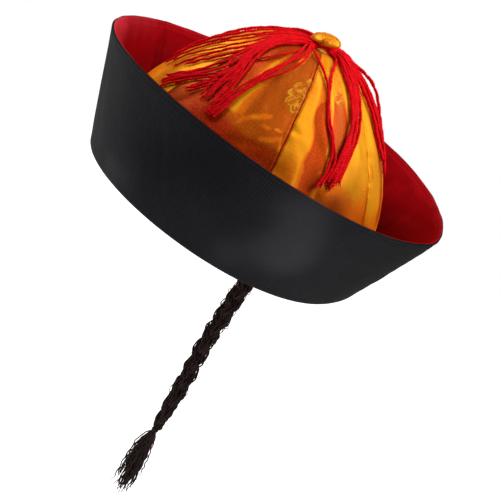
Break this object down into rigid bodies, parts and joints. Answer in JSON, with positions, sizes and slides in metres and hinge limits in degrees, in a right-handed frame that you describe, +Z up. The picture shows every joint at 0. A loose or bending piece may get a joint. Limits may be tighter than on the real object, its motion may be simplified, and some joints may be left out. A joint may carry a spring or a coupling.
{
  "type": "chinese hat",
  "caption": "Round costume hat with an upturned flared brim, a domed six-panel crown, a covered button with a spread yarn tassel, and a thin braid hanging at the back.",
  "frame": {"origin": "centre of the head opening, level with the brim's lower edge", "axes": "+Z up through the crown, -Y towards the front of the hat, +Y towards the braid, +X to the right seen from the front"},
  "size_m": [0.2524, 0.251, 0.4033],
  "materials": {
    "black_cloth": "black ribbed cloth over a stiff core, soft satin sheen",
    "red_satin": "smooth red satin lining",
    "gold_brocade": "golden satin brocade with a woven cloud figure, glossy",
    "red_yarn": "two-ply red yarn",
    "black_yarn": "matt brownish black yarn"
  },
  "bodies": {
    "root": {"brim_cover_front": "black_cloth", "brim_cover_back": "black_cloth", "brim_lining_front": "red_satin", "brim_lining_back": "red_satin", "crown_gore_1": "gold_brocade", "crown_gore_2": "gold_brocade", "crown_gore_3": "gold_brocade", "crown_gore_4": "gold_brocade", "crown_gore_5": "gold_brocade", "crown_gore_6": "gold_brocade", "crown_button": "gold_brocade", "yarn_tassel": "red_yarn", "braid_head": "black_yarn", "braid_plait": "black_yarn", "braid_tie": "black_yarn", "braid_tail": "black_yarn"}
  },
  "joints": []
}
